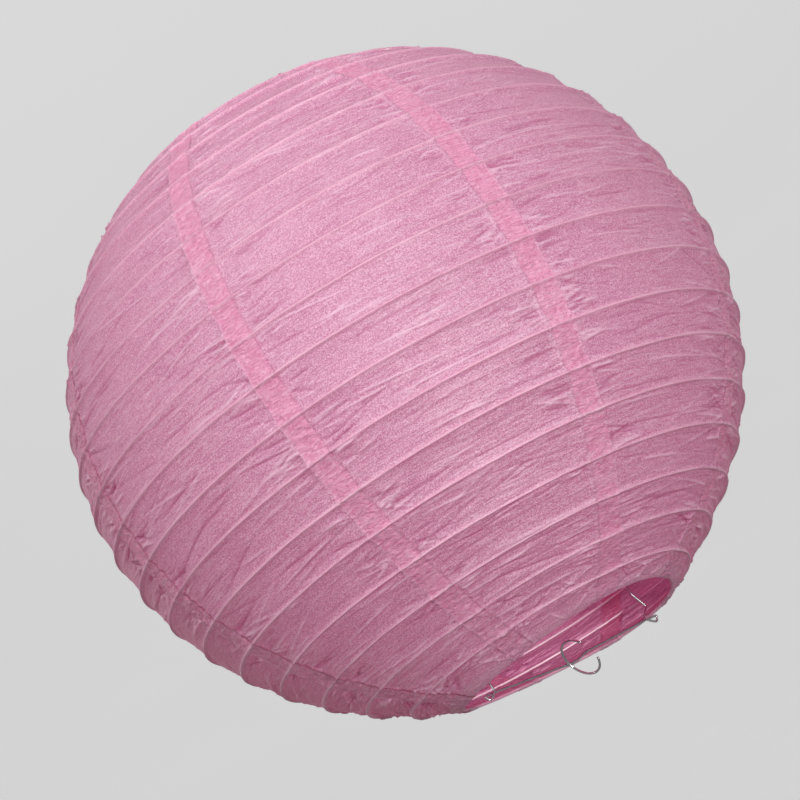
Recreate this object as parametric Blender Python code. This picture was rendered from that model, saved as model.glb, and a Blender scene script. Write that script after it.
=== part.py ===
"""Round tissue-paper lantern with a coiled wire rib, two rim rings and a wire expander.

Metres, +Z up along the lantern's own axis. The origin is the top of the hanger ring's opening, where a
ceiling hook or a cord carries the lantern. The crossbars of the expander lie along X.
"""

import math

import bpy
import numpy as np
from mathutils import Vector

GLOBE_R = 0.200  # outside of the paper at the ribs, nominal 40 cm lantern
FLATTEN = 0.977  # polar radius over equatorial radius
RIM_R = 0.0704  # edge of both mouths
RIM_TH = math.asin(RIM_R / GLOBE_R)
TOP_PUSH = 0.0041  # the expander's hooks push each ring out this far past the globe's own curve
BOTTOM_PUSH = 0.0010
RIM_SAG = 0.0053  # and the ring dips this much between the two hooks
PUSH_REACH = 0.16  # radians of globe over which both fade

GORES = 8
SEAM_AZ = math.radians(14.3)
LAP = 0.015  # width of each glued lap
LAP_STEP = 0.0007  # outer layer above the inner one
PAPER = 0.0004
GAP = 0.0003

TURNS = 19.2
COIL_AZ = math.radians(-17.0)  # the rib leaves the top rim here and winds down anticlockwise
COIL_ENDS = (0.2, 19.0)  # turns at which the wire starts and stops
COIL_WIRE_R = 0.0006
COIL_DEPTH = 0.0021

RING_WIRE_R = 0.00075
HEM_R = RING_WIRE_R + 2 * GAP  # inside of the paper folded round a ring
HEM_FLAP = 0.007

FRAME_WIRE_R = 0.0007
TOP_RISE = (0.0064, 0.0028)  # ends of the top crossbar above the ring's centre line, +X first
BOTTOM_RISE = 0.0035
TOP_EYE, BOTTOM_EYE = 0.0036, 0.0008  # height of the eye beside each hook
TOP_BEND = ((0.006, 0.0087), (-0.001, 0.0084), (-0.009, 0.0059))  # x and rise where the top crossbar bends
LEG_IN = 0.0043  # leg inside the rim ring's centre line
LEG_SIDE = -0.0020

HANGER_R = 0.0122
HANGER_WIRE_R = 0.0007
HANGER_GAP = (math.radians(-28.0), math.radians(34.0))
HANGER_X = 0.008  # where the hanger ring is welded to the top crossbar
HANGER_TURN = math.radians(6.0)  # the ring stands out from the crossbar this far round from -Y towards +X
HANGER_LEAN = math.radians(23.4)  # and leans this far towards -X
HANGER_ROLL = math.radians(9.2)  # its centre is this far above the weld, as an angle seen along the crossbar

RING_X = RIM_R - math.sin(RIM_TH) * (PAPER + HEM_R)
RING_Z = FLATTEN * GLOBE_R * math.cos(RIM_TH) + TOP_PUSH - math.cos(RIM_TH) * (PAPER + HEM_R)
BOTTOM_RING_Z = TOP_PUSH - BOTTOM_PUSH - RING_Z
HANGER_OUT = Vector((math.sin(HANGER_TURN), -math.cos(HANGER_TURN), 0.0))
HANGER_UP = Vector((-math.cos(HANGER_TURN), -math.sin(HANGER_TURN), 0.0)) * math.sin(HANGER_LEAN)
HANGER_UP.z = math.cos(HANGER_LEAN)
WELD = Vector((HANGER_X, -(FRAME_WIRE_R + HANGER_WIRE_R + GAP), RING_Z + TOP_BEND[0][1]))
HANGER_MIDDLE = WELD + (HANGER_OUT * math.cos(HANGER_ROLL) + HANGER_UP * math.sin(HANGER_ROLL)) * HANGER_R
ORIGIN = HANGER_MIDDLE + HANGER_UP * (HANGER_R - HANGER_WIRE_R)

PAPER_PINK = (0.80, 0.36, 0.55)
COIL_GREY = (0.62, 0.60, 0.60)
PLATED = (0.78, 0.78, 0.80)


def clear_scene():
    for obj in list(bpy.data.objects):
        bpy.data.objects.remove(obj, do_unlink=True)


def make_material(name, colour, roughness, metallic):
    material = bpy.data.materials.new(name)
    material.use_nodes = True
    shader = material.node_tree.nodes["Principled BSDF"]
    shader.inputs["Base Color"].default_value = (*colour, 1.0)
    shader.inputs["Roughness"].default_value = roughness
    shader.inputs["Metallic"].default_value = metallic
    return material


def add_object(name, points, faces, material):
    mesh = bpy.data.meshes.new(name)
    mesh.from_pydata([tuple(Vector(p) - ORIGIN) for p in points], [], faces)
    mesh.materials.append(material)
    mesh.shade_smooth()
    mesh.update()
    obj = bpy.data.objects.new(name, mesh)
    bpy.context.scene.collection.objects.link(obj)
    return obj


def rim_lift(th, az):
    """How far the hooks raise the paper near the top rim, and lower it near the bottom one."""
    sag = RIM_SAG * math.sin(az) ** 2
    top = (TOP_PUSH - sag) * math.exp(-(th - RIM_TH) / PUSH_REACH)
    bottom = (BOTTOM_PUSH - sag) * math.exp(-(math.pi - RIM_TH - th) / PUSH_REACH)
    return top - bottom


def skin(th, az):
    return Vector(
        (
            GLOBE_R * math.sin(th) * math.cos(az),
            GLOBE_R * math.sin(th) * math.sin(az),
            FLATTEN * GLOBE_R * math.cos(th) + rim_lift(th, az),
        )
    )


def skin_normal(th, az):
    normal = Vector((math.sin(th) * math.cos(az), math.sin(th) * math.sin(az), math.cos(th) / FLATTEN))
    return normal.normalized()


def ring_point(az, end):
    """Centre line of the top (end 1) or bottom (end -1) rim ring."""
    th = RIM_TH if end > 0 else math.pi - RIM_TH
    return skin(th, az) - skin_normal(th, az) * (PAPER + HEM_R)


def rib_th(turn):
    return RIM_TH + (math.pi - 2 * RIM_TH) * turn / TURNS


def tube(path, radius, sides, closed=False):
    """Round wire along a path: its section is carried along without twisting."""
    path = [Vector(p) for p in path]
    n = len(path)
    tangents = []
    for i in range(n):
        before = path[i - 1] if closed or i else path[0]
        after = path[(i + 1) % n] if closed or i < n - 1 else path[-1]
        tangents.append((after - before).normalized())
    side = tangents[0].orthogonal().normalized()
    frames = []
    for i, tangent in enumerate(tangents):
        side = (side - tangent * side.dot(tangent)).normalized()
        frames.append((side.copy(), tangent.cross(side)))
    twist = 0.0
    if closed:
        last = (side - tangents[0] * side.dot(tangents[0])).normalized()
        twist = math.atan2(last.dot(frames[0][1]), last.dot(frames[0][0]))
    points = []
    for i, (u, v) in enumerate(frames):
        turned = -twist * i / n
        for k in range(sides):
            angle = 2 * math.pi * k / sides + turned
            points.append(path[i] + (u * math.cos(angle) + v * math.sin(angle)) * radius)
    faces = []
    for i in range(n if closed else n - 1):
        a, b = i * sides, (i + 1) % n * sides
        for k in range(sides):
            m = (k + 1) % sides
            faces.append((a + k, a + m, b + m, b + k))
    if not closed:
        faces.append(tuple(reversed(range(sides))))
        faces.append(tuple(range((n - 1) * sides, n * sides)))
    return points, faces


def rounded(corners, radius, steps, closed=False):
    """A polyline with each corner replaced by a short arc-like curve."""
    corners = [Vector(c) for c in corners]
    n = len(corners)
    path = []
    for i, corner in enumerate(corners):
        if not closed and i in (0, n - 1):
            path.append(corner)
            continue
        before, after = corners[i - 1], corners[(i + 1) % n]
        reach = min(radius, (before - corner).length * 0.45, (after - corner).length * 0.45)
        start = corner + (before - corner).normalized() * reach
        end = corner + (after - corner).normalized() * reach
        for k in range(steps + 1):
            t = k / steps
            path.append(start * (1 - t) ** 2 + corner * 2 * t * (1 - t) + end * t * t)
    return path


def gore_columns(index):
    """(seam azimuth, metres sideways, layer offset) of each column, from the outer lap to the inner one."""
    width = 2 * math.pi / GORES
    first, last = SEAM_AZ + index * width, SEAM_AZ + (index + 1) * width
    half = LAP / 2
    columns = [(first, -half, LAP_STEP), (first, half + 0.0006, LAP_STEP), (first, half + 0.0040, 0.0)]
    inner = [(first * (1 - s) + last * s, (1 - 2 * s) * half, 0.0) for s in (0.31, 0.54, 0.77)]
    return columns + inner + [(last, -half, 0.0), (last, half, 0.0)]


def gore_rows(index):
    """Turn numbers of the ribs that cross this gore, as functions of azimuth."""
    centre = SEAM_AZ + (index + 0.5) * 2 * math.pi / GORES
    start = ((centre - COIL_AZ) / (2 * math.pi)) % 1.0

    def turn_of(k, az):
        turn = k + start + (az - centre) / (2 * math.pi)
        low, high = 0.12 * (k + 2), TURNS - 0.12 * (21 - k)
        return min(max(turn, low), high)

    return [lambda az, k=k: turn_of(k, az) for k in range(-1, 21)]


def hem_points(az, end, layer):
    """Flap, fold and edge of the paper round one ring: (point, sheet normal) pairs ending at the skin's edge."""
    th = RIM_TH if end > 0 else math.pi - RIM_TH
    normal = skin_normal(th, az)
    inward = Vector((-math.cos(az), -math.sin(az), 0.0))
    inward = (inward - normal * inward.dot(normal)).normalized()
    centre = ring_point(az, end)
    flap = centre - normal * (HEM_R + layer + 0.0006) - inward * HEM_FLAP
    pairs = [(flap, -normal)]
    for angle in (180, 90):
        turned = math.radians(angle)
        direction = normal * math.cos(turned) + inward * math.sin(turned)
        pairs.append((centre + direction * (HEM_R + layer), direction))
    pairs.append((centre + normal * (HEM_R + layer), normal))
    return pairs


def gore_column(seam, aside, layer, rows):
    """(inner point, sheet normal) of one column, from the top flap to the bottom flap."""
    rim_az = seam + aside / RIM_R
    pairs = hem_points(rim_az, 1, layer)
    for row in rows:
        az = seam
        for _ in range(3):
            az = seam + aside / (GLOBE_R * math.sin(rib_th(row(az))))
        th = rib_th(row(az))
        normal = skin_normal(th, az)
        pairs.append((skin(th, az) + normal * (layer - PAPER), normal))
    pairs.extend(reversed(hem_points(rim_az, -1, layer)))
    return pairs


def make_gore(index, material):
    rows = gore_rows(index)
    columns = [gore_column(*column, rows) for column in gore_columns(index)]
    n_cols, n_rows = len(columns), len(columns[0])
    inner = [point for column in columns for point, _ in column]
    outer = [point + normal * PAPER for column in columns for point, normal in column]
    shift = len(inner)
    faces = []

    def at(c, r):
        return c * n_rows + r

    for c in range(n_cols - 1):
        for r in range(n_rows - 1):
            a, b, d, e = at(c, r), at(c + 1, r), at(c + 1, r + 1), at(c, r + 1)
            for i, j, k in ((a, b, d), (a, d, e)):
                faces.append((i, j, k))
                faces.append((shift + k, shift + j, shift + i))
    for r in range(n_rows - 1):
        a, e = at(0, r), at(0, r + 1)
        faces.append((a, e, shift + e, shift + a))
        b, d = at(n_cols - 1, r), at(n_cols - 1, r + 1)
        faces.append((b, shift + b, shift + d, d))
    for c in range(n_cols - 1):
        a, b = at(c, 0), at(c + 1, 0)
        faces.append((a, shift + a, shift + b, b))
        e, d = at(c, n_rows - 1), at(c + 1, n_rows - 1)
        faces.append((e, d, shift + d, shift + e))
    return add_object(f"gore_{index + 1}", inner + outer, faces, material)


def make_coil(material):
    per_turn = 24
    count = round((COIL_ENDS[1] - COIL_ENDS[0]) * per_turn)
    path = []
    for turn in np.linspace(COIL_ENDS[0], COIL_ENDS[1], count + 1):
        az, th = COIL_AZ + 2 * math.pi * float(turn), rib_th(float(turn))
        path.append(skin(th, az) - skin_normal(th, az) * COIL_DEPTH)
    points, faces = tube(path, COIL_WIRE_R, 4)
    return add_object("rib_coil", points, faces, material)


def make_ring(name, end, material):
    path = [ring_point(2 * math.pi * k / 48, end) for k in range(48)]
    points, faces = tube(path, RING_WIRE_R, 6, closed=True)
    return add_object(name, points, faces, material)


def corner_hook(side, end, rise):
    """Corners of the wire from a leg to a crossbar: a shoulder that the rim ring bears on, then a small eye."""
    ring_z, eye = (RING_Z, TOP_EYE) if end > 0 else (BOTTOM_RING_Z, BOTTOM_EYE)
    local = [
        (-LEG_IN, LEG_SIDE, -0.0150),
        (0.0008, LEG_SIDE, -0.0048),
        (-LEG_IN, LEG_SIDE, -0.0016),
        (-LEG_IN - 0.0003, LEG_SIDE, rise),
        (0.0006, LEG_SIDE / 2, rise + eye),
        (0.0022, 0.0, rise),
        (-0.0080, 0.0, rise),
    ]
    return [Vector((side * (RING_X + dx), side * dy, ring_z + end * dz)) for dx, dy, dz in local]


def make_expander(material):
    corners = list(reversed(corner_hook(1, 1, TOP_RISE[0]))) + corner_hook(1, -1, BOTTOM_RISE)
    corners += list(reversed(corner_hook(-1, -1, BOTTOM_RISE))) + corner_hook(-1, 1, TOP_RISE[1])
    corners += [Vector((x, 0.0, RING_Z + rise)) for x, rise in reversed(TOP_BEND)]
    path = rounded(corners, 0.0016, 3, closed=True)
    points, faces = tube(path, FRAME_WIRE_R, 6, closed=True)
    return add_object("expander_frame", points, faces, material)


def make_hanger(material):
    """Open wire ring that leans across the top crossbar, its gap facing away from the bar."""
    steps = 24
    first, last = HANGER_GAP[1], 2 * math.pi + HANGER_GAP[0]
    path = []
    for k in range(steps + 1):
        angle = first + (last - first) * k / steps
        spoke = HANGER_OUT * math.cos(angle) + HANGER_UP * math.sin(angle)
        path.append(HANGER_MIDDLE + spoke * HANGER_R)
    points, faces = tube(path, HANGER_WIRE_R, 8)
    return add_object("hanger_ring", points, faces, material)


def main():
    clear_scene()
    paper = make_material("tissue_paper", PAPER_PINK, 0.85, 0.0)
    coil_wire = make_material("rib_wire", COIL_GREY, 0.45, 0.7)
    plated = make_material("plated_wire", PLATED, 0.25, 1.0)
    for index in range(GORES):
        make_gore(index, paper)
    make_coil(coil_wire)
    make_ring("top_rim_ring", 1, coil_wire)
    make_ring("bottom_rim_ring", -1, coil_wire)
    make_expander(plated)
    make_hanger(plated)


main()
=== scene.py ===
"""Looks of the round paper lantern: creased tissue gores over a coiled wire, wire rims and an expander."""
import math

import bpy
import numpy as np
from mathutils import Matrix, Vector


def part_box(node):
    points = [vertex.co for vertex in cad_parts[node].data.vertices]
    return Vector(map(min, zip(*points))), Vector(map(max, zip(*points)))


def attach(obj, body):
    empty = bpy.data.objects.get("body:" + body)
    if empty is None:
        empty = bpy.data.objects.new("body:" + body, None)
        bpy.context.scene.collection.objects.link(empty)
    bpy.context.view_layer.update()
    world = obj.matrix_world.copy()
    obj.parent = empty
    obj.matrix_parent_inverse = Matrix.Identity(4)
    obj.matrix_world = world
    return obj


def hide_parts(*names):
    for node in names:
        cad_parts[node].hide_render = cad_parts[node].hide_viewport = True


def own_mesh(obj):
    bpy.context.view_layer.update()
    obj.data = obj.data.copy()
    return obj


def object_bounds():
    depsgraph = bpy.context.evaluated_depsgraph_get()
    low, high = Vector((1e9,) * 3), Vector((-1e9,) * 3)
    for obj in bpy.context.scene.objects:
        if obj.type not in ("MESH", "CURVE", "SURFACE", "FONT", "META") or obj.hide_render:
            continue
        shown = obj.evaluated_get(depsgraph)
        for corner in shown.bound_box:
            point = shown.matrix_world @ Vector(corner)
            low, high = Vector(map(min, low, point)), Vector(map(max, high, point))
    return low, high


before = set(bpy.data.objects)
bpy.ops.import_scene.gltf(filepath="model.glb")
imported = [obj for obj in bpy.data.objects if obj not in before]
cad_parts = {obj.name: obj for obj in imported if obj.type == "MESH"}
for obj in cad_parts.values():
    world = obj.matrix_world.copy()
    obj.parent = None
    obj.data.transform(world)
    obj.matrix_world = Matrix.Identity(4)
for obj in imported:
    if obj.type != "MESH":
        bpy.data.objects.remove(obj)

CAD_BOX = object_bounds()

# The lantern's own measures, as in the CAD model, in metres and radians.
GLOBE_R = 0.200  # half the width of the smooth globe
FLATTEN = 0.977  # height of the whole globe over its width
RIM_R = 0.0704  # radius of both mouths
RIM_TH = math.asin(RIM_R / GLOBE_R)  # polar angle of the top rim
TOP_PUSH = 0.0041  # how far the expander's corners push the top rim up
BOTTOM_PUSH = 0.0010  # how far they push the bottom rim down
RIM_SAG = 0.0053  # how much less a rim is pushed half-way between the corners
PUSH_REACH = 0.16  # polar angle over which the push fades
GORES = 8
SEAM_AZ = math.radians(14.3)  # azimuth of the first seam
LAP = 0.015  # width of a glued seam
TURNS = 19.2  # turns of the coil from rim to rim
COIL_AZ = math.radians(-17.0)  # azimuth from which its turns are counted
COIL_ENDS = (0.2, 19.0)  # turns where the wire starts and ends
RING_WIRE_R = 0.00075
RING_DEPTH = 0.00175  # the rim ring's centre line below the paper's face in the CAD model
FRAME_WIRE_R = 0.0007
GAP = 0.0003  # between the hanger ring and the crossbar
TOP_RISE = (0.0064, 0.0028)  # ends of the top crossbar above the ring, at +X and at -X
BOTTOM_RISE = 0.0035
TOP_EYE, BOTTOM_EYE = 0.0036, 0.0008  # height of the small eye at a crossbar's end
TOP_BEND = ((0.006, 0.0087), (-0.001, 0.0084), (-0.009, 0.0059))  # x and rise of the crossbar's bends
LEG_IN = 0.0043  # leg inside the rim ring's centre line
LEG_SIDE = -0.0020  # leg beside the crossbars
HANGER_R = 0.0122
HANGER_WIRE_R = 0.0007
HANGER_GAP = (math.radians(-28.0), math.radians(34.0))
HANGER_X = 0.008  # where the hanger ring is welded to the top crossbar
HANGER_TURN = math.radians(6.0)  # the ring stands out this far round from -Y towards +X
HANGER_LEAN = math.radians(23.4)  # and leans this far towards -X
HANGER_ROLL = math.radians(9.2)  # its centre is this far above the weld, seen along the crossbar
WELD_RISE = 0.008  # welds above the rim ring
WELD_REACH, WELD_SWELL = 0.0025, 0.0004  # how far a weld thickens the crossbar, and by how much
RING_X = RIM_R - math.sin(RIM_TH) * RING_DEPTH
RING_Z = FLATTEN * GLOBE_R * math.cos(RIM_TH) + TOP_PUSH - math.cos(RIM_TH) * RING_DEPTH
BOTTOM_RING_Z = TOP_PUSH - BOTTOM_PUSH - RING_Z
HANGER_OUT = Vector((math.sin(HANGER_TURN), -math.cos(HANGER_TURN), 0.0))
HANGER_UP = Vector((-math.cos(HANGER_TURN), -math.sin(HANGER_TURN), 0.0)) * math.sin(HANGER_LEAN)
HANGER_UP.z = math.cos(HANGER_LEAN)
WELD = Vector((HANGER_X, -(FRAME_WIRE_R + HANGER_WIRE_R + GAP), RING_Z + TOP_BEND[0][1]))
HANGER_MIDDLE = WELD + (HANGER_OUT * math.cos(HANGER_ROLL) + HANGER_UP * math.sin(HANGER_ROLL)) * HANGER_R
MERIDIAN = math.pi - 2 * RIM_TH
PITCH = GLOBE_R * MERIDIAN / TURNS

# Relief of the paper.
LAP_STEP = 0.00025  # outer layer of a lap above the inner one
STEP_W = 0.0026  # distance over which it comes down beside the lap
SAG = 0.0013  # how far the paper falls in between two ribs
RIDGE = 0.0010  # how far a rib lifts the paper
RIDGE_W = 0.0009  # half width of that ridge
RIB_LINE = 0.0008  # half width of the paler line along it: partly the pale wire showing through, partly a painted highlight on the ridge
WOBBLE = 0.028  # how far the coil strays from an even spiral, in turns
SEAM_CRINKLE = 0.00085  # height of the crinkle in a glued lap
FOLD_DEPTH = 2.5  # factor on the height of every crease
FOLD_FULL = 0.0004  # height of a fold whose edge line is painted at full strength, as highlight on a raised fold and as shade in a sunken one
FOLD_LINE = 0.00055  # half width of that painted line along a fold's edge
COIL_WIRE_R = 0.0007
COIL_DEPTH = 0.0014  # coil's centre line below the top of the ridge
HEM_R = 0.00105  # from the ring's centre line to the paper folded round it
HEM_FLAP = 0.0085  # depth of the flap glued inside the rim
FLAP_DROP = 0.0008  # how far the flap's edge stands off the shade

# Folds of one gore: how many of each kind, and the range of their length, height and breadth.
LONG_FOLDS, FANS, GATHERS, FINE_FOLDS = 220, 56, 26, 900
LONG_KIND = {"reach": (0.030, 0.120), "slope": 7, "size": (0.00016, 0.00050), "breadth": (0.0005, 0.0011)}
FAN_KIND = {"reach": (0.016, 0.052), "slope": 6, "size": (0.00016, 0.00050), "breadth": (0.0005, 0.0009)}
FINE_KIND = {"reach": (0.012, 0.045), "slope": 6, "size": (0.00006, 0.00017), "breadth": (0.0004, 0.0007)}

# Rows and columns of the meshes.
ROWS_BY_RIB = (0.0, 0.00035, 0.00075, 0.0012, 0.0018, 0.0026, 0.0036)  # metres from the rib
ROWS_BETWEEN = 25
LAP_COLUMNS = 18
BODY_COLUMNS = 72
STEP_COLUMNS = (0.0004, 0.0008, 0.0016, 0.0028)  # metres past a lap, where the outer layer comes down
FLAP_SHARES = (1.0, 0.8, 0.6, 0.4, 0.2)  # rows of the hem's flap, from its edge to the ring
ROUND_RING = 9  # rows of the hem round the ring
RING_SHOW_AND_HIGHLIGHT = np.repeat([0.0, 0.9, 0.2], (8, 4, 2))  # how much each row of a hem is painted paler over the ring: partly the ring showing through, partly a painted highlight along the rim's edge
COIL_STEPS = 150  # in one turn
RING_STEPS = 240
HANGER_STEPS = 96

ring_low, ring_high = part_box("top_rim_ring")
end_low, end_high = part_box("bottom_rim_ring")
CENTRE = Vector(((ring_low.x + ring_high.x) / 2, (ring_low.y + ring_high.y) / 2, 0.0))
CENTRE.z = (end_low.z + ring_high.z - TOP_PUSH + BOTTOM_PUSH) / 2


def smoothstep(x):
    x = np.clip(x, 0.0, 1.0)
    return x * x * (3 - 2 * x)


# ---------------------------------------------------------------- shape of the globe
def skin(th, az):
    """Points of the smooth globe at polar angles and azimuths, with both rims pushed out at the hooks."""
    sag = RIM_SAG * np.sin(az) ** 2
    lift = (TOP_PUSH - sag) * np.exp(-(th - RIM_TH) / PUSH_REACH)
    lift -= (BOTTOM_PUSH - sag) * np.exp(-(math.pi - RIM_TH - th) / PUSH_REACH)
    return np.stack(
        [
            GLOBE_R * np.sin(th) * np.cos(az),
            GLOBE_R * np.sin(th) * np.sin(az),
            FLATTEN * GLOBE_R * np.cos(th) + lift,
        ],
        axis=-1,
    )


def skin_normal(th, az):
    n = np.stack([np.sin(th) * np.cos(az), np.sin(th) * np.sin(az), np.cos(th) / FLATTEN], axis=-1)
    return n / np.linalg.norm(n, axis=-1, keepdims=True)


def turn_th(turn):
    return RIM_TH + MERIDIAN * turn / TURNS


def value_noise(u, v, seed):
    """Smooth noise from -1 to 1 on a plane whose lattice step is 1."""
    rng = np.random.RandomState(seed)
    size = 64
    table = rng.uniform(-1, 1, (size, size))
    ui, vi = np.floor(u).astype(int), np.floor(v).astype(int)
    fu, fv = smoothstep(u - ui), smoothstep(v - vi)

    def corner(a, b):
        return table[(ui + a) % size, (vi + b) % size]

    low = corner(0, 0) * (1 - fu) + corner(1, 0) * fu
    high = corner(0, 1) * (1 - fu) + corner(1, 1) * fu
    return low * (1 - fv) + high * fv


def round_noise(turn, az, seed, around, along):
    """Noise that closes on itself round the globe: around is its rate with azimuth, along with turns."""
    return value_noise(around * np.cos(az) + 3.1 * along * turn, around * np.sin(az) + along * turn, seed)


def stray(turn, az):
    """How far the coil is off its even spiral, in turns."""
    return WOBBLE * (0.6 * round_noise(turn, az, 71, 1.3, 0.6) + 0.4 * round_noise(turn, az, 72, 4.0, 0.9))


def rib_phase(turn, az):
    """Share of a turn past the last rib, and the distance in metres to the nearest one."""
    phase = (turn - stray(turn, az) - (az - COIL_AZ) / (2 * math.pi)) % 1.0
    return phase, np.minimum(phase, 1 - phase) * PITCH


def wire_reach(turn):
    """1 where the coil runs under the paper, fading to 0 at both rims."""
    return smoothstep((turn - 0.05) / 0.5) * smoothstep((TURNS - 0.05 - turn) / 0.5)


def rib_height(turn, az):
    """Height of the paper from the ribs alone: it sags between turns of the wire and rides over each."""
    phase, away = rib_phase(turn, az)
    sag = -SAG * (4 * phase * (1 - phase)) ** 0.75
    uneven = 1 + 0.3 * round_noise(turn, az, 77, 2.5, 0.5)
    return (sag * uneven + RIDGE * np.exp(-((away / RIDGE_W) ** 2))) * wire_reach(turn)


def seam_height(aside, turn, seam):
    """Crinkle of one glued lap, shared by both of its layers. aside is metres from the seam's middle."""
    along = turn * PITCH
    inside = smoothstep((LAP / 2 + 0.003 - np.abs(aside)) / 0.003)
    warp = 0.0012 * value_noise(aside / 0.004, along / 0.003, 880 + seam)
    coarse = value_noise((aside + warp) / 0.0075, (along + warp) / 0.0020, 900 + seam)
    cross = value_noise((aside - along) / 0.0050, (along + aside * 0.6 - warp) / 0.0022, 940 + seam)
    patch = 0.75 + 0.35 * value_noise(along / 0.03, along * 0 + 3.3, 990 + seam)
    folds = 0.5 - np.abs(coarse) + 0.7 * (0.5 - np.abs(cross))
    return inside * patch * SEAM_CRINKLE * folds


def fold_bundle(rng, across, along, height, edges, spots, reach, slope, size, breadth):
    """Adds straight creases to height and their thin lines to edges; these lines are painted as highlight on
    raised creases and as shade in sunken ones.

    Each of spots is a crease's middle and its lean. slope is the spread of the leans in degrees.
    """
    for x0, y0, lean in spots:
        length = rng.uniform(*reach)
        angle = lean + math.radians(rng.normal(0, slope))
        deep = rng.choice((-1, 1)) * rng.uniform(*size)
        wide = rng.uniform(*breadth)
        c, s = math.cos(angle), math.sin(angle)
        tall = length / 2 * abs(s) + 6 * wide + 0.004
        box = (np.abs(along - y0) < tall) & (np.abs(across - x0) < length / 2)
        dx, dy = across[box] - x0, along[box] - y0
        run, off = dx * c + dy * s, -dx * s + dy * c
        off = off + rng.uniform(-0.25, 0.25) * (run / length) ** 2 * 0.02
        taper = np.cos(np.clip(np.pi * run / length, -np.pi / 2, np.pi / 2)) ** 2
        side = np.where(off > 0, 0.55, 1.0)
        height[box] += deep * taper * np.exp(-np.abs(off) / (wide * side))
        # Along the fold's edge: the mark for painted highlight on a raised fold and painted shade in a
        # sunken one.
        edges[box] += deep / FOLD_FULL * taper * np.exp(-((off / FOLD_LINE) ** 2))


def creases(across, turn, width, index, away):
    """Heights and edge lines of one gore's folds; the edge lines are painted as highlight and shade.

    across is metres from the gore's middle, width its half width there and away metres to the next rib.
    """
    rng = np.random.RandomState(100 + index)
    along = turn * PITCH
    total = TURNS * PITCH
    height, edges = np.zeros_like(across), np.zeros_like(across)

    def half_at(y):
        return GLOBE_R * math.pi / GORES * math.sin(RIM_TH + y / GLOBE_R)

    long_ones, fans, fine = [], [], []
    for _ in range(LONG_FOLDS):
        y0 = total * rng.uniform(0.03, 0.97)
        long_ones.append((rng.uniform(-1, 1) * half_at(y0), y0, 0.0))
    for side in (-1, 1):
        for _ in range(FANS):
            y0 = total * rng.uniform(0.03, 0.97)
            x0 = side * (half_at(y0) - LAP / 2)
            spread = rng.uniform(10, 26)
            for _ in range(rng.randint(3, 7)):
                lean = math.radians(rng.uniform(-spread, spread))
                off = rng.uniform(0.004, 0.012)
                fans.append((x0 - side * off * math.cos(lean), y0 + rng.uniform(-0.004, 0.004), lean))
    for end in (0.0, total):
        for _ in range(GATHERS):
            y0 = abs(end - rng.uniform(0.002, 0.030))
            x0 = rng.uniform(-1, 1) * half_at(y0)
            fans.append((x0, y0, math.radians(rng.choice((-1, 1)) * rng.uniform(8, 50))))
    for _ in range(FINE_FOLDS):
        y0 = total * rng.uniform(0.02, 0.98)
        fine.append((rng.uniform(-1, 1) * half_at(y0), y0, 0.0))
    for spots, kind in (long_ones, LONG_KIND), (fans, FAN_KIND), (fine, FINE_KIND):
        fold_bundle(rng, across, along, height, edges, spots, **kind)
    broad = value_noise(across / 0.030, along / 0.012, 300 + index) * 0.00035
    broad += value_noise(across / 0.014, along / 0.0048, 330 + index) * 0.00016
    free = smoothstep((width - LAP / 2 - np.abs(across)) / 0.0015)
    ridge = 1 - 0.85 * np.exp(-((away / 0.0016) ** 2))
    tight = FOLD_DEPTH * (1 + 0.45 * value_noise(across / 0.05, along / 0.03, 360 + index))
    return (height * tight + broad) * free * ridge, edges * free * ridge


# ---------------------------------------------------------------- meshes
def add_piece(name, points, faces, material, attributes=None):
    mesh = bpy.data.meshes.new(name)
    shifted = np.asarray(points, float).reshape(-1, 3) + np.array(CENTRE)
    mesh.from_pydata(shifted.tolist(), [], faces)
    mesh.materials.append(material)
    for key, values in (attributes or {}).items():
        layer = mesh.attributes.new(key, "FLOAT", "POINT")
        layer.data.foreach_set("value", np.asarray(values, np.float32).reshape(-1))
    mesh.shade_smooth()
    mesh.update()
    obj = bpy.data.objects.new(name, mesh)
    bpy.context.scene.collection.objects.link(obj)
    return obj


def grid_faces(n_cols, n_rows):
    a = (np.arange(n_cols - 1)[:, None] * n_rows + np.arange(n_rows - 1)[None, :]).reshape(-1)
    return np.stack([a, a + n_rows, a + n_rows + 1, a + 1], axis=-1).tolist()


def hem_profile(normal, inward, layer, reach):
    """Offsets from the ring's centre line of the paper folded round it, from the flap's edge outwards."""
    points = []
    for share in FLAP_SHARES:
        drop = HEM_R + layer + FLAP_DROP * share**1.5
        points.append(-normal * drop - inward * (reach * share)[..., None])
    for angle in np.linspace(math.pi, 0.0, ROUND_RING + 1)[:-1]:
        direction = normal * math.cos(angle) + inward * math.sin(angle)
        points.append(direction * (HEM_R + layer))
    return points


def rim_rows(az, end, layer, seed):
    """Rows of points of one gore's hem round the top ring (end 1) or the bottom ring (end -1)."""
    th = np.full_like(az, RIM_TH if end > 0 else math.pi - RIM_TH)
    normal = skin_normal(th, az)
    inward = np.stack([-np.cos(az), -np.sin(az), 0 * az], axis=-1)
    inward -= normal * np.sum(inward * normal, axis=-1, keepdims=True)
    inward /= np.linalg.norm(inward, axis=-1, keepdims=True)
    centre = skin(th, az) - normal * HEM_R
    arc = az * RIM_R
    reach = HEM_FLAP * (1 + 0.22 * value_noise(arc / 0.009, arc * 0 + 0.5, seed))
    reach += 0.0012 * value_noise(arc / 0.0022, arc * 0 + 7.5, seed + 1)
    wave = 0.00018 * value_noise(arc / 0.005, arc * 0 + 1.5, seed + 2)
    rows = []
    for k, offset in enumerate(hem_profile(normal, inward, layer, reach)):
        loose = 1.0 if k < len(FLAP_SHARES) else 0.6
        rows.append(centre + offset + normal * (wave * loose)[..., None])
    return rows


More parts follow.
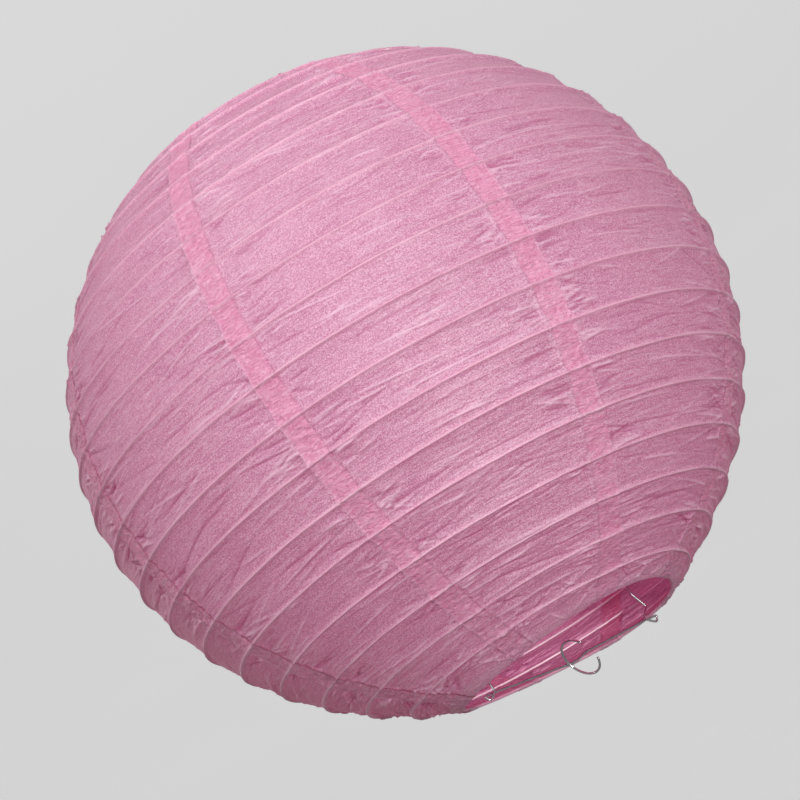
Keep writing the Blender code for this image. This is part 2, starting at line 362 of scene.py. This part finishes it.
def gore_rows(centre_az):
    """Row positions in turns from rim to rim, dense next to each rib."""
    start = ((centre_az - COIL_AZ) / (2 * math.pi)) % 1.0
    near = np.array(ROWS_BY_RIB) / PITCH
    middle = np.linspace(near[-1], 1 - near[-1], ROWS_BETWEEN)[1:-1]
    step = np.concatenate([near, middle, (1 - near[1:])[::-1]])
    rows = np.concatenate([k + start + step for k in range(-1, int(TURNS) + 2)])
    rows = rows[(rows > 0.02) & (rows < TURNS - 0.02)]
    return np.concatenate([[0.0], rows, [TURNS]])


def gore_columns():
    """Share of the way from the first seam to the last, and metres aside of that, of each column."""
    half = LAP / 2
    edge = np.linspace(-half, half, LAP_COLUMNS)
    step = half + np.array(STEP_COLUMNS)
    columns = [(0.0, aside) for aside in np.concatenate([edge, step])]
    columns += [(s, (1 - s) * step[-1] - s * half) for s in np.linspace(0.0, 1.0, BODY_COLUMNS)[1:-1]]
    columns += [(1.0, aside) for aside in edge]
    return np.array([c[0] for c in columns]), np.array([c[1] for c in columns])


def lap_share(away, along, seam):
    """1 inside a glued lap, 0 outside, with a ragged edge. away is metres from the seam's middle."""
    ragged = 0.0007 * value_noise(along / 0.006, along * 0 + 0.5, 700 + seam % GORES)
    return smoothstep((LAP / 2 + 0.0003 + ragged - np.abs(away)) / 0.0014)


def lap_marks(from_first, from_last, along, index):
    """The same for both laps of one gore."""
    return np.maximum(lap_share(from_first, along, index), lap_share(from_last, along, index + 1))


def make_gore(index, material):
    """One sheet of paper: its two laps, its relief, and a hem round each rim ring."""
    first = SEAM_AZ + index * 2 * math.pi / GORES
    last = first + 2 * math.pi / GORES
    centre = (first + last) / 2
    turns = gore_rows(centre)
    hold = smoothstep(turns / 0.7) * smoothstep((TURNS - turns) / 0.7)
    radius = (GLOBE_R * np.sin(turn_th(turns)))[None, :]
    share, aside = gore_columns()
    straight = first + (last - first) * share

    # The rows climb with the coil, so that each stays on its rib, but not at the rims.
    az = straight[:, None] + aside[:, None] / radius
    turn = turns[None, :] + hold[None, :] * (az - centre) / (2 * math.pi)
    th = turn_th(turn)
    from_first = (az - first) * radius
    from_last = (az - last) * radius
    across = (az - centre) * radius
    width = (last - first) / 2 * radius + 0 * az
    away = rib_phase(turn, az)[1]

    edge_fade = smoothstep(turn / 0.25) * smoothstep((TURNS - turn) / 0.25)
    over = LAP_STEP * (1 - smoothstep((from_first - LAP / 2) / STEP_W))
    crinkle = seam_height(from_first, turn, index) + seam_height(from_last, turn, (index + 1) % GORES)
    folds, fold_shading = creases(across, turn, width, index, away)
    height = rib_height(turn, az) + over + crinkle + folds * edge_fade
    points = skin(th, az) + skin_normal(th, az) * height[..., None]

    rim_az = straight + aside / RIM_R
    layer = LAP_STEP * np.where((share == 0) & (aside <= LAP / 2 + 0.0005), 1.0, 0.0)[:, None]
    top = rim_rows(rim_az, 1, layer, 500 + 10 * index)
    bottom = rim_rows(rim_az, -1, layer, 600 + 10 * index)
    grid = np.concatenate([np.stack(top, axis=1), points, np.stack(bottom[::-1], axis=1)], axis=1)

    # Marks for the material, first on the body's rows and then on those of both hems. The hem, fold and rib
    # marks carry painted light, highlight and shade.
    n_hem = len(top)
    hems = ((0, 0), (n_hem, n_hem))
    rim_lap = lap_marks((rim_az - first) * RIM_R, (rim_az - last) * RIM_R, rim_az * 0, index)[:, None]
    lap = np.pad(lap_marks(from_first, from_last, turn * PITCH, index), hems)
    to_rim = np.minimum(turn, TURNS - turn) * PITCH
    # The hem flap and the band of paper over it get the mark for a painted light, which lightens paper that
    # lies in shade.
    hem = np.pad(0.5 * smoothstep((HEM_FLAP - to_rim) / 0.002), hems, constant_values=1.0)
    # Fold edges, and the crinkle of the laps, get the mark for painted highlight where raised and painted
    # shade where sunken.
    fold_shading = np.pad(np.clip(fold_shading + 0.4 * crinkle / FOLD_FULL, -1.0, 1.0) * edge_fade, hems)
    uneven = 0.8 + 0.35 * round_noise(turn, az, 79, 9.0, 2.0)
    # Along each rib the paper is painted paler: partly the pale wire showing through, partly a painted
    # highlight on the ridge.
    rib = np.pad(np.exp(-((away / RIB_LINE) ** 2)) * wire_reach(turn) * uneven, hems)
    # Round the rings the hems are painted paler: partly the ring showing through, partly a painted highlight
    # along the rim's edge.
    for rows, shows in (slice(None, n_hem), RING_SHOW_AND_HIGHLIGHT), (slice(-n_hem, None), RING_SHOW_AND_HIGHLIGHT[::-1]):
        lap[:, rows] = rim_lap
        rib[:, rows] = shows
    wide = np.pad(across, hems, mode="edge") + 0.3 * index
    middle = GLOBE_R * MERIDIAN * turns / TURNS
    beyond = 0.001 * np.arange(1, n_hem + 1)
    down = np.concatenate([middle[0] - beyond[::-1], middle, middle[-1] + beyond])[None, :] + 0 * rib
    marks = {"lap": lap, "hem": hem, "rib": rib, "fold_shading": fold_shading, "wide": wide, "down": down}
    return add_piece(f"paper_gore_{index + 1}", grid, grid_faces(*grid.shape[:2]), material, marks)


def sweep(path, radius, sides, closed=False):
    """Round wire along a path, with its section carried along without twisting."""
    path = np.asarray(path, float)
    n = len(path)
    radius = np.broadcast_to(radius, (n,))
    if closed:
        tangents = np.roll(path, -1, 0) - np.roll(path, 1, 0)
    else:
        tangents = np.gradient(path, axis=0)
    tangents /= np.linalg.norm(tangents, axis=1, keepdims=True)
    side = np.array(Vector(tangents[0]).orthogonal().normalized())
    sides_u = []
    for tangent in tangents:
        side = side - tangent * side.dot(tangent)
        side /= np.linalg.norm(side)
        sides_u.append(side)
    u = np.array(sides_u)
    v = np.cross(tangents, u)
    if closed:
        last = u[-1] - tangents[0] * u[-1].dot(tangents[0])
        twist = math.atan2(last.dot(v[0]), last.dot(u[0]))
    else:
        twist = 0.0
    turned = -twist * np.arange(n) / n
    angle = 2 * np.pi * np.arange(sides)[None, :] / sides + turned[:, None]
    points = path[:, None] + (
        u[:, None] * np.cos(angle)[..., None] + v[:, None] * np.sin(angle)[..., None]
    ) * radius[:, None, None]
    faces = []
    for i in range(n if closed else n - 1):
        a, b = i * sides, (i + 1) % n * sides
        faces += [(a + k, a + (k + 1) % sides, b + (k + 1) % sides, b + k) for k in range(sides)]
    if not closed:
        faces.append(tuple(reversed(range(sides))))
        faces.append(tuple(range((n - 1) * sides, n * sides)))
    return points.reshape(-1, 3), faces


def rounded(corners, radius, steps):
    """Closed path through corners, each one turned into a small curve."""
    path = []
    for i, corner in enumerate(corners):
        before, after = corners[i - 1], corners[(i + 1) % len(corners)]
        reach = min(radius, (before - corner).length * 0.48, (after - corner).length * 0.48)
        start = corner + (before - corner).normalized() * reach
        end = corner + (after - corner).normalized() * reach
        for k in range(steps + 1):
            t = k / steps
            path.append(start * (1 - t) ** 2 + corner * 2 * t * (1 - t) + end * t * t)
    return path


def densified(path, spacing):
    """The same closed path with more points along its straight stretches."""
    points = []
    for a, b in zip(path, path[1:] + path[:1]):
        count = max(1, int((b - a).length / spacing))
        points += [a.lerp(b, k / count) for k in range(count)]
    return points


def make_coil(material):
    turn = np.linspace(*COIL_ENDS, int((COIL_ENDS[1] - COIL_ENDS[0]) * COIL_STEPS) + 1)
    az = COIL_AZ + 2 * math.pi * turn
    th = turn_th(turn + stray(turn, az))
    depth = COIL_DEPTH - RIDGE * wire_reach(turn)
    path = skin(th, az) - skin_normal(th, az) * depth[:, None]
    points, faces = sweep(path, COIL_WIRE_R, sides=8)
    return add_piece("coil_wire", points, faces, material)


def make_ring(name, end, material):
    az = np.linspace(0, 2 * math.pi, RING_STEPS + 1)[:-1]
    th = np.full_like(az, RIM_TH if end > 0 else math.pi - RIM_TH)
    path = skin(th, az) - skin_normal(th, az) * HEM_R
    points, faces = sweep(path, RING_WIRE_R, sides=10, closed=True)
    return add_piece(name, points, faces, material)


def corner_hook(side, end, rise):
    """Corners of the wire from a leg to a crossbar: a shoulder under the rim ring, then a small eye."""
    ring_z, eye = (RING_Z, TOP_EYE) if end > 0 else (BOTTOM_RING_Z, BOTTOM_EYE)
    local = [
        (-LEG_IN, LEG_SIDE, -0.0150),
        (0.0008, LEG_SIDE, -0.0048),
        (-LEG_IN, LEG_SIDE, -0.0016),
        (-LEG_IN - 0.0003, LEG_SIDE, rise),
        (0.0006, LEG_SIDE / 2, rise + eye),
        (0.0022, 0.0, rise),
        (-0.0080, 0.0, rise),
    ]
    return [Vector((side * (RING_X + dx), side * dy, ring_z + end * dz)) for dx, dy, dz in local]


def make_expander(material):
    corners = list(reversed(corner_hook(1, 1, TOP_RISE[0]))) + corner_hook(1, -1, BOTTOM_RISE)
    corners += list(reversed(corner_hook(-1, -1, BOTTOM_RISE))) + corner_hook(-1, 1, TOP_RISE[1])
    corners += [Vector((x, 0.0, RING_Z + rise)) for x, rise in reversed(TOP_BEND)]
    path = np.array([tuple(p) for p in densified(rounded(corners, radius=0.0016, steps=8), spacing=0.0025)])
    radius = np.full(len(path), FRAME_WIRE_R)
    for x, _ in TOP_BEND[0], TOP_BEND[2]:
        weld = np.array((x, 0.0, RING_Z + WELD_RISE))
        radius += WELD_SWELL * np.exp(-((np.linalg.norm(path - weld, axis=1) / WELD_REACH) ** 2))
    points, faces = sweep(path, radius, sides=12, closed=True)
    return add_piece("expander_wire", points, faces, material)


def make_hanger(material):
    first, last = HANGER_GAP[1], 2 * math.pi + HANGER_GAP[0]
    path = []
    for k in range(HANGER_STEPS + 1):
        angle = first + (last - first) * k / HANGER_STEPS
        spoke = HANGER_OUT * math.cos(angle) + HANGER_UP * math.sin(angle)
        path.append(tuple(HANGER_MIDDLE + spoke * HANGER_R))
    points, faces = sweep(path, HANGER_WIRE_R, sides=12)
    return add_piece("hanger_wire", points, faces, material)


# ---------------------------------------------------------------- materials
class Nodes:
    """Short calls for building one node material."""

    def __init__(self, name):
        self.material = bpy.data.materials.new(name)
        self.material.use_nodes = True
        self.tree = self.material.node_tree
        self.tree.nodes.clear()
        self.out = self.tree.nodes.new("ShaderNodeOutputMaterial")

    def add(self, kind, **settings):
        node = self.tree.nodes.new(kind)
        for key, value in settings.items():
            setattr(node, key, value)
        return node

    def link(self, a, b):
        self.tree.links.new(a, b)

    def noise(self, scale, detail=2.0, rough=0.5, vector=None, distortion=0.0):
        node = self.add("ShaderNodeTexNoise")
        node.inputs["Scale"].default_value = scale
        node.inputs["Detail"].default_value = detail
        node.inputs["Roughness"].default_value = rough
        node.inputs["Distortion"].default_value = distortion
        if vector is not None:
            self.link(vector, node.inputs["Vector"])
        return node.outputs["Fac"]

    def spread(self, value, low, high, out_low, out_high):
        node = self.add("ShaderNodeMapRange")
        self.link(value, node.inputs["Value"])
        keys = ("From Min", "From Max", "To Min", "To Max")
        for key, number in zip(keys, (low, high, out_low, out_high)):
            node.inputs[key].default_value = number
        return node.outputs["Result"]

    def math(self, operation, a, b):
        node = self.add("ShaderNodeMath", operation=operation)
        for socket, value in zip(node.inputs, (a, b)):
            if isinstance(value, (int, float)):
                socket.default_value = value
            else:
                self.link(value, socket)
        return node.outputs[0]

    def lines(self, value, width):
        """Thin lines where the value crosses its middle."""
        off = self.math("ABSOLUTE", self.math("SUBTRACT", value, 0.5), 0.0)
        return self.spread(off, 0.0, width, 1.0, 0.0)

    def mix(self, share, a, b):
        node = self.add("ShaderNodeMix", data_type="RGBA")
        for socket, value in zip((node.inputs[0], node.inputs[6], node.inputs[7]), (share, a, b)):
            if isinstance(value, tuple):
                socket.default_value = (*value, 1.0)
            elif isinstance(value, (int, float)):
                socket.default_value = value
            else:
                self.link(value, socket)
        return node.outputs[2]

    def scaled(self, vector, amounts):
        node = self.add("ShaderNodeMapping")
        self.link(vector, node.inputs["Vector"])
        node.inputs["Scale"].default_value = amounts
        return node.outputs["Vector"]

    def bump(self, height, distance, strength):
        node = self.add("ShaderNodeBump")
        self.link(height, node.inputs["Height"])
        node.inputs["Distance"].default_value = distance
        node.inputs["Strength"].default_value = strength
        return node.outputs["Normal"]


# Colours of the paper's face and of its marks, among them painted light, painted highlight and painted
# shade, then of the light that comes through one layer and through two.
PAPER_DEEP, PAPER_PALE = (0.655, 0.312, 0.485), (0.710, 0.360, 0.537)
# Next line: a painted light for the hems, then the laps' own deeper colour.
HEM_PAINTED_LIGHT, PAPER_LAP = (0.98, 0.560, 0.770), (1.00, 0.470, 0.720)
FIBRE_PALE, FIBRE_DARK = (0.94, 0.62, 0.81), (0.46, 0.15, 0.30)
STRAND_DARK, FLECK_DARK = (0.46, 0.14, 0.28), (0.56, 0.20, 0.37)
# Next line: painted highlight along fine crease lines, painted shade in the laps' crease lines, and paler
# ribs that are partly wire showing through, partly painted highlight.
PAINTED_CREASE_HIGHLIGHT, PAINTED_LAP_CREASE_SHADE, RIB_WIRE_AND_HIGHLIGHT = (0.98, 0.74, 0.88), (0.66, 0.15, 0.36), (0.98, 0.68, 0.84)
# Painted highlight for raised fold edges, then painted shade for sunken ones.
FOLD_PAINTED_HIGHLIGHT, FOLD_PAINTED_SHADE = (0.99, 0.70, 0.87), (0.48, 0.14, 0.30)
THROUGH_SINGLE, THROUGH_DOUBLE = (0.80, 0.165, 0.380), (0.86, 0.16, 0.37)


def paper_material():
    """Tissue: mottled fibres, fine creases with painted highlight and painted shade, paler ribs and rims
    partly painted highlight, painted light on the hems, a deeper colour in the laps, and light that comes
    through.
    """
    n = Nodes("tissue_paper")
    where = n.add("ShaderNodeTexCoord").outputs["Object"]
    names = ("lap", "hem", "rib", "fold_shading", "wide", "down")
    marks = [n.add("ShaderNodeAttribute", attribute_name=name).outputs["Fac"] for name in names]
    lap, hem, rib, fold_shading, wide, down = marks
    flat = n.add("ShaderNodeCombineXYZ")
    n.link(wide, flat.inputs[0])
    n.link(down, flat.inputs[1])
    flat = flat.outputs[0]

    # Patterns in space, then those in the plane of the flat sheet, which run across the gore.
    cloud = n.noise(30.0, 4.0, 0.6, where)
    patchy = n.spread(n.noise(16.0, 2.0, 0.5, where), 0.42, 0.62, 0.15, 1.0)
    mottle = n.noise(1350.0, 2.0, 0.7, where)
    flecks = n.noise(420.0, 2.0, 0.5, where)
    strands = n.noise(1.0, 3.0, 0.6, n.scaled(flat, (60.0, 700.0, 1.0)), 0.3)
    wrinkle = n.noise(1.0, 2.0, 0.55, n.scaled(flat, (260.0, 560.0, 1.0)), 1.4)
    long_lines = n.lines(n.noise(1.0, 2.0, 0.5, n.scaled(flat, (34.0, 330.0, 1.0)), 0.7), 0.06)
    short_lines = n.lines(n.noise(1.0, 2.0, 0.5, n.scaled(flat, (120.0, 420.0, 1.0)), 1.2), 0.06)
    # Noise lines painted as crease highlights in patches, and in the laps lines painted as crease shade; the
    # bump raises the first and sinks the second.
    crease_highlight = n.math("MULTIPLY", patchy, long_lines)
    lap_crease_shade = n.math("MULTIPLY", lap, short_lines)

    base = n.mix(n.spread(cloud, 0.35, 0.65, 0.0, 1.0), PAPER_DEEP, PAPER_PALE)
    # Painted light on the hems and the band over them.
    base = n.mix(n.math("MULTIPLY", hem, 0.95), base, HEM_PAINTED_LIGHT)
    base = n.mix(n.math("MULTIPLY", lap, 0.90), base, PAPER_LAP)
    calm = n.spread(lap, 0.0, 1.0, 1.0, 0.4)
    base = n.mix(n.math("MULTIPLY", calm, n.spread(mottle, 0.50, 0.60, 0.0, 0.85)), base, FIBRE_PALE)
    base = n.mix(n.math("MULTIPLY", calm, n.spread(mottle, 0.40, 0.50, 0.80, 0.0)), base, FIBRE_DARK)
    base = n.mix(n.spread(strands, 0.30, 0.44, 0.45, 0.0), base, STRAND_DARK)
    base = n.mix(n.spread(flecks, 0.64, 0.75, 0.0, 0.25), base, FLECK_DARK)
    # Painted highlight along fine crease lines.
    base = n.mix(n.math("MULTIPLY", crease_highlight, 0.35), base, PAINTED_CREASE_HIGHLIGHT)
    # Painted highlight on the edges of raised folds, then painted shade on those of sunken folds and of the
    # laps' crinkle.
    base = n.mix(n.spread(fold_shading, 0.16, 0.90, 0.0, 0.70), base, FOLD_PAINTED_HIGHLIGHT)
    base = n.mix(n.spread(fold_shading, -0.90, -0.16, 0.60, 0.0), base, FOLD_PAINTED_SHADE)
    # Painted shade in the laps' crinkle valleys and crease lines.
    crinkle = n.math("MULTIPLY", lap, n.spread(wrinkle, 0.36, 0.46, 0.15, 0.0))
    base = n.mix(n.math("MAXIMUM", crinkle, n.math("MULTIPLY", lap_crease_shade, 0.55)), base, PAINTED_LAP_CREASE_SHADE)
    # Ribs and rim edges: partly the pale wire showing through, partly a painted highlight on the ridge.
    base = n.mix(n.math("MULTIPLY", rib, 0.8), base, RIB_WIRE_AND_HIGHLIGHT)
    through = n.mix(n.math("MULTIPLY", lap, 0.9), THROUGH_SINGLE, THROUGH_DOUBLE)

    grain = n.math("ADD", n.math("MULTIPLY", mottle, 0.6), n.math("MULTIPLY", flecks, 0.3))
    lap_folds = n.math("MULTIPLY", n.math("MULTIPLY", lap, wrinkle), 2.2)
    folds = n.math("ADD", n.math("MULTIPLY", strands, 1.5), lap_folds)
    lines = n.math("MULTIPLY", n.math("SUBTRACT", crease_highlight, lap_crease_shade), 0.40)
    normal = n.bump(n.math("ADD", lines, n.math("ADD", grain, folds)), distance=0.0004, strength=0.9)

    front = n.add("ShaderNodeBsdfPrincipled")
    front.inputs["Specular IOR Level"].default_value = 1.0
    front.inputs["Roughness"].default_value = 0.42
    back = n.add("ShaderNodeBsdfTranslucent")
    for shader in (front, back):
        n.link(normal, shader.inputs["Normal"])
    n.link(base, front.inputs["Base Color"])
    n.link(through, back.inputs["Color"])
    both = n.add("ShaderNodeMixShader")
    both.inputs[0].default_value = 0.40
    n.link(front.outputs[0], both.inputs[1])
    n.link(back.outputs[0], both.inputs[2])
    n.link(both.outputs[0], n.out.inputs["Surface"])
    return n.material


def wire_material(name, colour, dull, metal, roughness, streak):
    """Drawn wire with duller patches. streak is the strength of its fine scratches."""
    n = Nodes(name)
    where = n.add("ShaderNodeTexCoord").outputs["Object"]
    patches = n.noise(160.0, 3.0, 0.6, where)
    scratches = n.noise(2600.0, 2.0, 0.5, where)
    shader = n.add("ShaderNodeBsdfPrincipled")
    shader.inputs["Metallic"].default_value = metal
    n.link(n.mix(n.spread(patches, 0.45, 0.7, 0.0, 0.8), colour, dull), shader.inputs["Base Color"])
    n.link(n.spread(patches, 0.3, 0.7, roughness, roughness + 0.2), shader.inputs["Roughness"])
    n.link(n.bump(scratches, 0.0001, streak), shader.inputs["Normal"])
    n.link(shader.outputs[0], n.out.inputs["Surface"])
    return n.material


def floor_material():
    n = Nodes("studio_floor")
    where = n.add("ShaderNodeTexCoord").outputs["Object"]
    shader = n.add("ShaderNodeBsdfPrincipled")
    shader.inputs["Roughness"].default_value = 0.9
    shader.inputs["Specular IOR Level"].default_value = 0.1
    tone = n.mix(n.noise(0.8, 2.0, 0.5, where), (0.84, 0.84, 0.84), (0.87, 0.87, 0.87))
    n.link(tone, shader.inputs["Base Color"])
    n.link(tone, shader.inputs["Emission Color"])
    shader.inputs["Emission Strength"].default_value = FLOOR_GLOW
    n.link(shader.outputs[0], n.out.inputs["Surface"])
    return n.material


# ---------------------------------------------------------------- camera, stage and light
CAMERA_AZ = math.radians(-49.0)
CAMERA_EL = math.radians(16.35)
CAMERA_ROLL = math.radians(58.41)  # how far below the picture's horizontal the lantern's axis points
CAMERA_DISTANCE = 7.31 * GLOBE_R
SENSOR_WIDTH = 36.0
LENS_SHARE = 3.085  # focal length over the sensor's width
AIM_LEFT, AIM_DOWN = 0.00239, 0.00681  # how far off the globe's centre it aims, over its distance
FLOOR_DROP = 1.6  # below the lantern, so that every light stands above the floor
FLOOR_HALF = 60.0
FLOOR_POINTS = 9
FLOOR_GLOW = 0.51  # the floor's own share of light, which keeps it pale under a low sky
SKY = 0.25


def camera_axes():
    """The picture's right and up, and the way from the lantern back to the camera."""
    outward = Vector((math.cos(CAMERA_AZ), math.sin(CAMERA_AZ), 0.0))
    back = outward * math.cos(CAMERA_EL) + Vector((0.0, 0.0, math.sin(CAMERA_EL)))
    level = Vector((-math.sin(CAMERA_AZ), math.cos(CAMERA_AZ), 0.0))
    upright = back.cross(level)
    c, s = math.cos(CAMERA_ROLL), math.sin(CAMERA_ROLL)
    right = -level * s + upright * c
    up = -level * c - upright * s
    return right, up, back


def make_camera():
    right, up, back = camera_axes()
    data = bpy.data.cameras.new("camera")
    data.sensor_width = SENSOR_WIDTH
    data.lens = SENSOR_WIDTH * LENS_SHARE
    data.clip_start, data.clip_end = 0.05, 200.0
    cam = bpy.data.objects.new("camera", data)
    bpy.context.scene.collection.objects.link(cam)
    target = CENTRE - right * (AIM_LEFT * CAMERA_DISTANCE) - up * (AIM_DOWN * CAMERA_DISTANCE)
    place = Matrix((right, up, back)).transposed().to_4x4()
    place.translation = target + back * CAMERA_DISTANCE
    cam.matrix_world = place
    bpy.context.scene.camera = cam


def area_light(name, direction, distance, size, power):
    """Round soft light that faces the lantern, in a direction from its centre."""
    data = bpy.data.lights.new(name, "AREA")
    data.shape = "DISK"
    data.size = size
    data.energy = power
    light = bpy.data.objects.new(name, data)
    bpy.context.scene.collection.objects.link(light)
    direction = direction.normalized()
    light.location = CENTRE + direction * distance
    light.rotation_mode = "QUATERNION"
    light.rotation_quaternion = (-direction).to_track_quat("-Z", "Y")
    light.visible_camera = False
    return light


def make_floor():
    mesh = bpy.data.meshes.new("studio_floor")
    span = np.linspace(-FLOOR_HALF, FLOOR_HALF, FLOOR_POINTS)
    points = [(x, y, 0.0) for x in span for y in span]
    mesh.from_pydata(points, [], grid_faces(FLOOR_POINTS, FLOOR_POINTS))
    mesh.materials.append(floor_material())
    mesh.update()
    floor = bpy.data.objects.new("studio_floor", mesh)
    floor.location = (0.0, 0.0, CAD_BOX[0].z - FLOOR_DROP)
    bpy.context.scene.collection.objects.link(floor)


def make_lights():
    """A key beside the camera, a side light that rakes the creases, and one behind that shines through."""
    right, up, back = camera_axes()
    area_light("key", right * 0.22 + up * 0.15 + back * 0.96, distance=2.1, size=0.35, power=31.5)
    area_light("side", up * 0.50 - right * 0.66 + back * 0.56, distance=1.35, size=0.25, power=5.5)
    far = area_light("far", right * -0.30 - up * 0.20 - back * 0.93, distance=1.7, size=0.9, power=12.5)
    far.visible_glossy = False
    world = bpy.data.worlds.new("studio")
    world.use_nodes = True
    sky = world.node_tree.nodes["Background"]
    sky.inputs["Color"].default_value = (1.0, 1.0, 1.0, 1.0)
    sky.inputs["Strength"].default_value = SKY
    bpy.context.scene.world = world
    bpy.context.scene.view_settings.view_transform = "Standard"


# ---------------------------------------------------------------- the build
def take_place(piece, body, node):
    """Lets a piece ride on its body and stand for its CAD node."""
    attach(piece, body)
    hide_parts(node)


make_camera()
make_floor()
make_lights()

paper = paper_material()
rib_steel = wire_material(
    "rib_wire", colour=(0.98, 0.86, 0.91), dull=(0.88, 0.72, 0.78), metal=0.1, roughness=0.42, streak=0.1
)
plated = wire_material(
    "plated_wire", colour=(0.62, 0.60, 0.62), dull=(0.42, 0.40, 0.42), metal=1.0, roughness=0.14, streak=0.08
)

# The flat sheet of one gore. The flattened globe has AREA_SHARE of a sphere's area between the rims.
AREA_SHARE = 0.985
GORE_STEP = 2 * math.pi / GORES
GORE_LENGTH = GLOBE_R * MERIDIAN + 2 * (HEM_FLAP + math.pi * HEM_R)
GORE_AREA = 2 * GLOBE_R**2 * GORE_STEP * math.cos(RIM_TH) * AREA_SHARE + LAP * GORE_LENGTH
GORE_AREA += 2 * HEM_FLAP * RIM_R * GORE_STEP

# The heights of the planes of the two rim rings.
top_plane = (ring_low.z + ring_high.z) / 2
bottom_plane = (end_low.z + end_high.z) / 2

coil = make_coil(rib_steel)
take_place(coil, "shade_upper", "rib_coil")
shrinking = [(coil, top_plane)]
for index in range(GORES):
    gore = make_gore(index, paper)
    take_place(gore, "shade_upper", f"gore_{index + 1}")
    shrinking.append((gore, top_plane))
top_ring = make_ring("top_ring_wire", 1, rib_steel)
take_place(top_ring, "shade_upper", "top_rim_ring")
bottom_ring = make_ring("bottom_ring_wire", -1, rib_steel)
take_place(bottom_ring, "shade_lower", "bottom_rim_ring")
shrinking += [(top_ring, top_plane), (bottom_ring, bottom_plane)]
for piece, plane in shrinking:
    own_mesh(piece)

expander = make_expander(plated)
take_place(expander, "expander", "expander_frame")
hanger = make_hanger(plated)
take_place(hanger, "expander", "hanger_ring")
